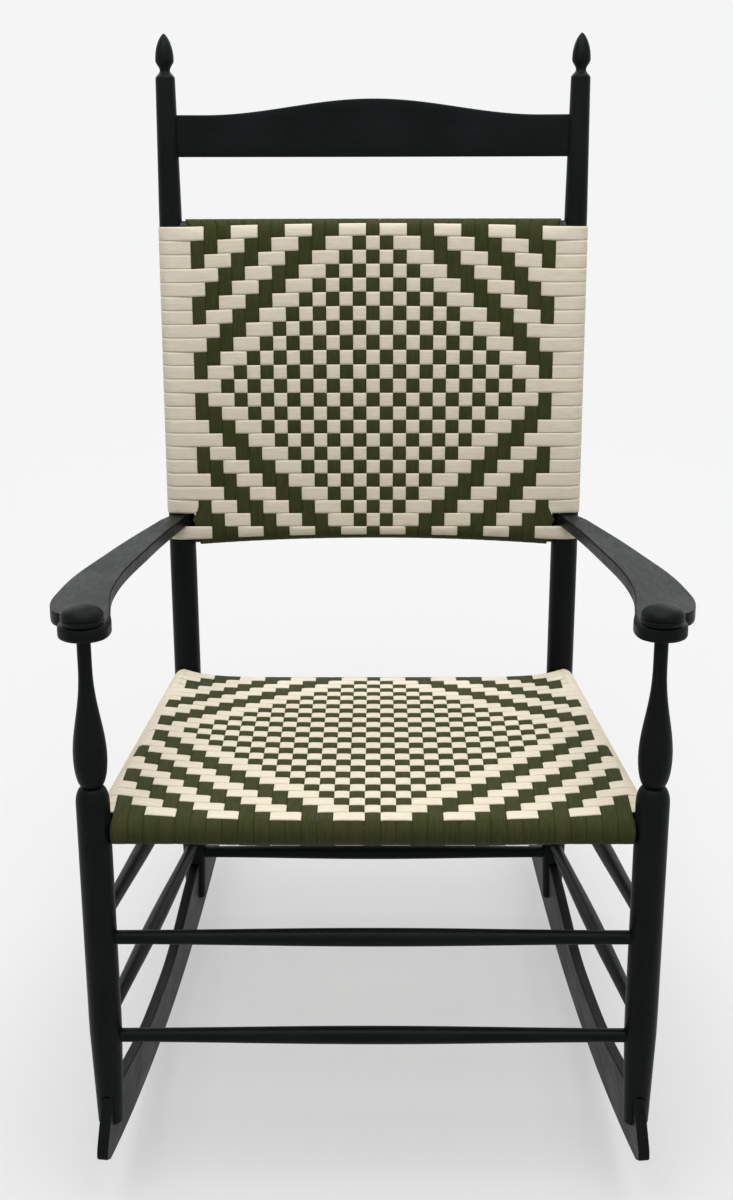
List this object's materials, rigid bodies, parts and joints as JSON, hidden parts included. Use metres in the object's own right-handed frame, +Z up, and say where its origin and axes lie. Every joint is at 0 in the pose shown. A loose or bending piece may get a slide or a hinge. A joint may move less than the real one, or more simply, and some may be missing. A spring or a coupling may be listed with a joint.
{
  "type": "rocking chair",
  "caption": "Armed Shaker rocking chair: turned black-painted posts and rungs on thin curved rockers, an arched crest slat, and a padded seat and back of two-colour woven tape.",
  "frame": {"origin": "on the floor under the middle of the chair's box, in the pose in which the empty chair rests", "axes": "+X to the sitter's left, +Y to the back of the chair, +Z up from the floor"},
  "size_m": [0.651, 0.7894, 1.063],
  "materials": {
    "black_paint": "satin",
    "green_tape": "matte",
    "cream_tape": "matte",
    "foam": "matte",
    "bare_wood": "matte",
    "steel": "satin"
  },
  "bodies": {
    "root": {"arm_cap_left": "black_paint", "arm_cap_right": "black_paint", "arm_left": "black_paint", "arm_pin_left": "black_paint", "arm_pin_right": "black_paint", "arm_right": "black_paint", "back_foam_pad": "foam", "back_post_left": "black_paint", "back_post_right": "black_paint", "back_rung_lower": "black_paint", "back_warp_tape": "green_tape", "back_weft_tape": "cream_tape", "crest_slat": "black_paint", "front_post_left": "black_paint", "front_post_right": "black_paint", "front_rung_lower": "black_paint", "front_rung_upper": "black_paint", "panel_rung_bottom": "bare_wood", "panel_rung_top": "bare_wood", "rocker_left": "black_paint", "rocker_pin_back_left": "black_paint", "rocker_pin_back_right": "black_paint", "rocker_pin_front_left": "black_paint", "rocker_pin_front_right": "black_paint", "rocker_right": "black_paint", "seat_foam_pad": "foam", "seat_rung_back": "bare_wood", "seat_rung_front": "bare_wood", "seat_rung_left": "bare_wood", "seat_rung_right": "bare_wood", "seat_warp_tape": "green_tape", "seat_weft_tape": "cream_tape", "side_rung_lower_left": "black_paint", "side_rung_lower_right": "black_paint", "side_rung_upper_left": "black_paint", "side_rung_upper_right": "black_paint", "slat_pin_left": "black_paint", "slat_pin_right": "black_paint", "tack_back_warp": "steel", "tack_back_weft": "steel", "tack_seat_warp": "steel", "tack_seat_weft": "steel"}
  },
  "joints": []
}
